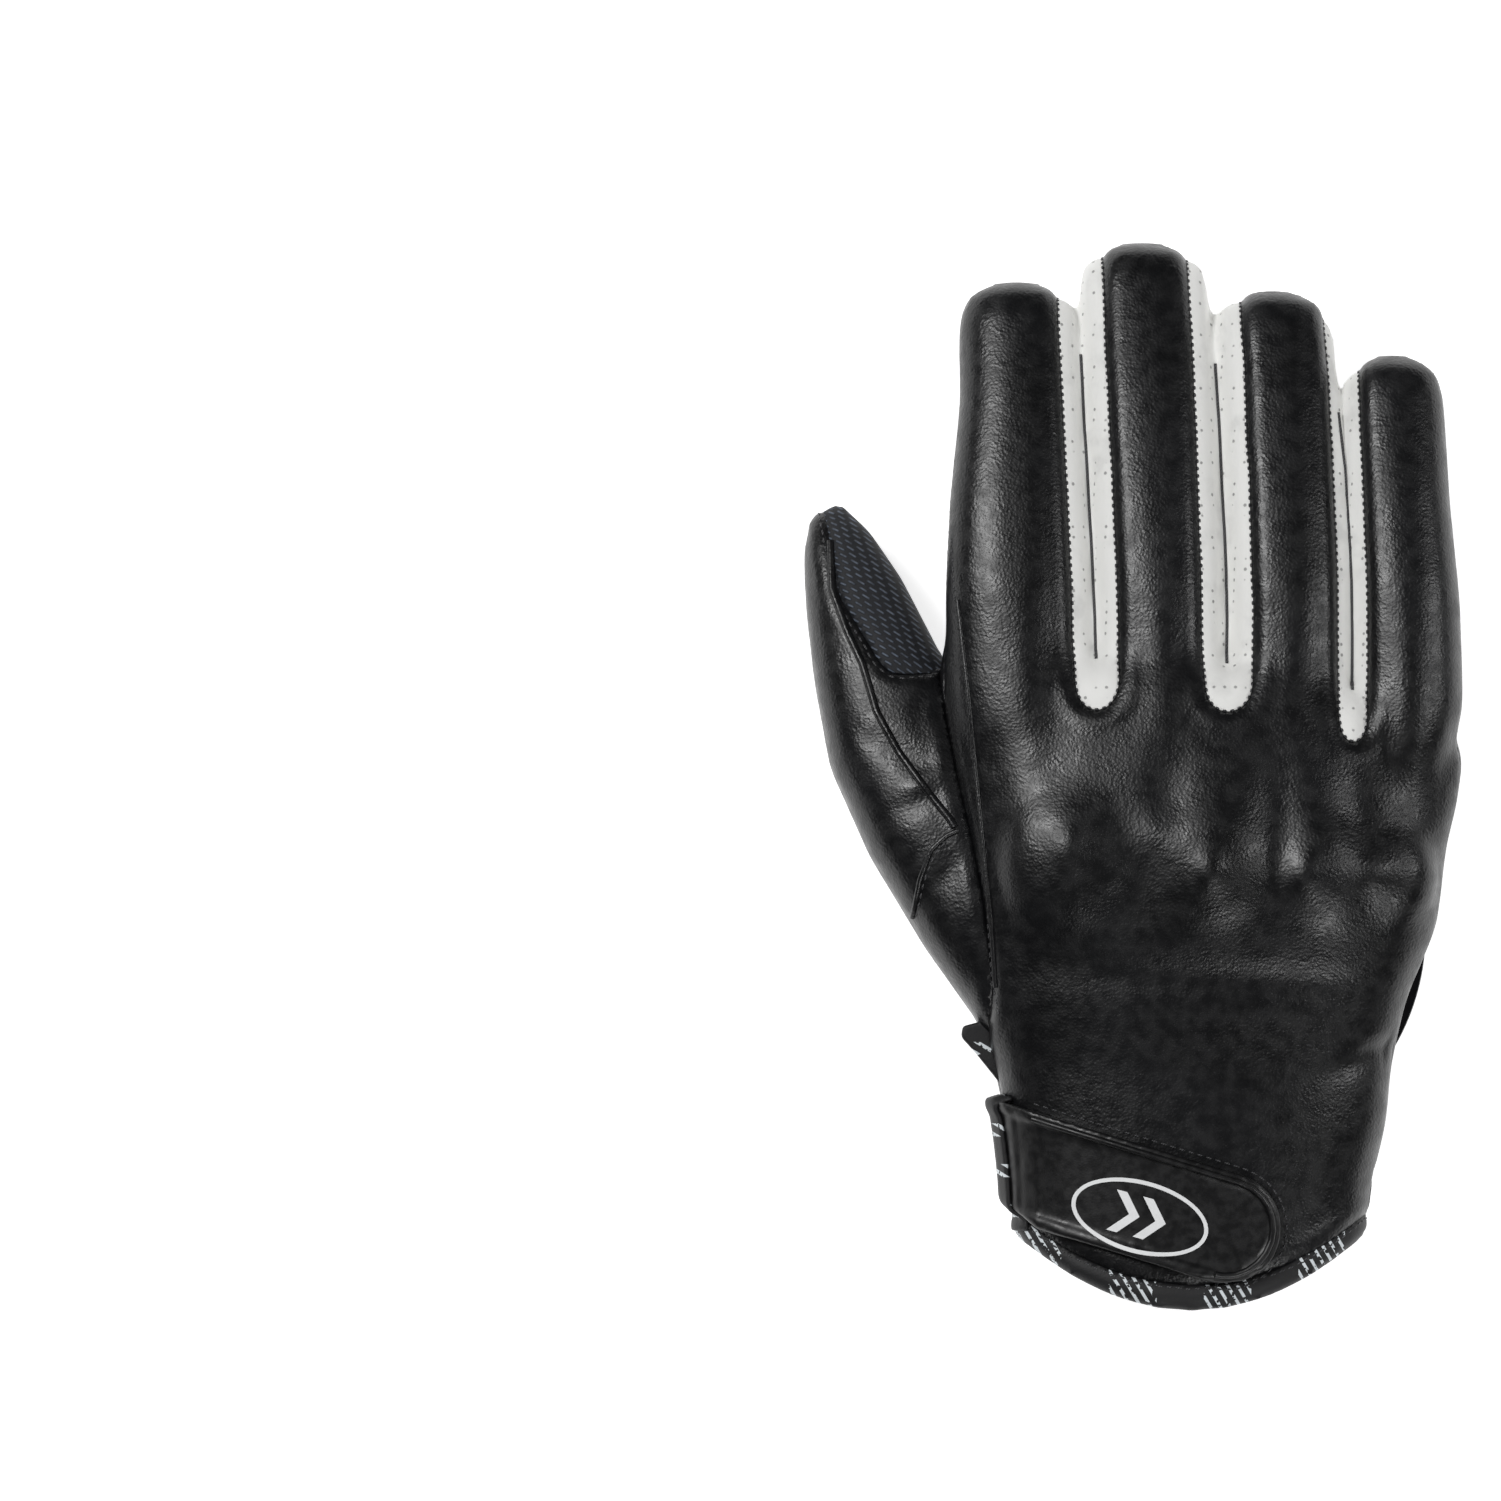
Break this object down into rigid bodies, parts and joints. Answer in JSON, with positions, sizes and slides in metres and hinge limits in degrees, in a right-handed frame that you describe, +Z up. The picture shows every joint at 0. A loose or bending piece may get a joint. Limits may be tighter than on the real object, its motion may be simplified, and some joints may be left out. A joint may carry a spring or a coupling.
{
  "type": "longboard slide glove",
  "caption": "Right-hand leather slide glove with a round slider puck on the palm, white finger gussets, padded knuckles and a wrist strap.",
  "frame": {"origin": "centre of the slider puck's sliding face, which rests on the ground", "axes": "+Y along the fingers, +Z up off the back of the hand, and the thumb lies on the -X side"},
  "size_m": [0.1465, 0.2377, 0.0574],
  "materials": {
    "black_leather": "smooth black leather with a soft sheen",
    "white_leather": "matt white perforated leather",
    "woven_pad": "coarse aramid weave",
    "elastic": "ribbed elastic webbing",
    "loop_pile": "short loop pile",
    "binding_tape": "folded black tape with a small white repeat",
    "strap_rubber": "satin moulded rubber",
    "puck_plastic": "turned black plastic, polished"
  },
  "bodies": {
    "root": {"puck": "puck_plastic", "loop_patch": "loop_pile", "back_leather": "black_leather", "palm_leather": "black_leather", "thumb_leather": "black_leather", "strap": "strap_rubber", "gusset_index_middle": "white_leather", "gusset_middle_ring": "white_leather", "gusset_ring_little": "white_leather", "pad_index": "woven_pad", "pad_middle": "woven_pad", "pad_ring": "woven_pad", "pad_little": "woven_pad", "pad_thumb": "woven_pad", "elastic_band": "elastic", "rim_binding": "binding_tape"}
  },
  "joints": []
}
